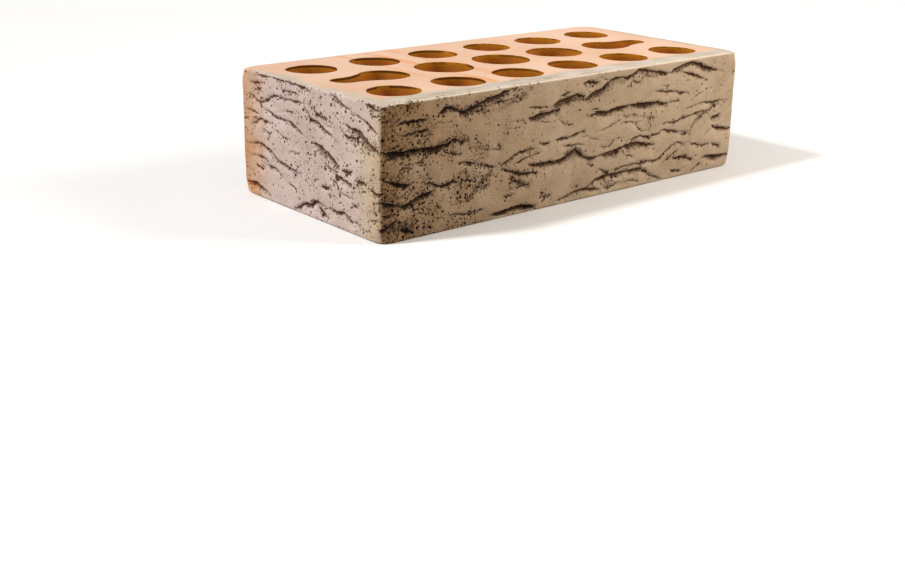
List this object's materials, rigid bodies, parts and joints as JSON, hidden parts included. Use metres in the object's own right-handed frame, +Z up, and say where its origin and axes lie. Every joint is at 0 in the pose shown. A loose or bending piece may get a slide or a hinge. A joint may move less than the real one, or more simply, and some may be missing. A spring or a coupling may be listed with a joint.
{
  "type": "facing brick",
  "caption": "Perforated clay facing brick with rounded edges: upright round and drop-shaped openings run through it, and bark-like relief covers its sides; one unit of a masonry facing.",
  "frame": {"origin": "middle of the lower bed, which the brick stands on", "axes": "+X along the length, +Y along the width, +Z up through the openings"},
  "size_m": [0.25, 0.12, 0.065],
  "materials": {
    "fired_clay": "matte fired clay: grey-beige engobe with dark furrows on the sides, bare orange clay on the beds and in the openings"
  },
  "bodies": {
    "root": {"brick": "fired_clay"}
  },
  "joints": []
}
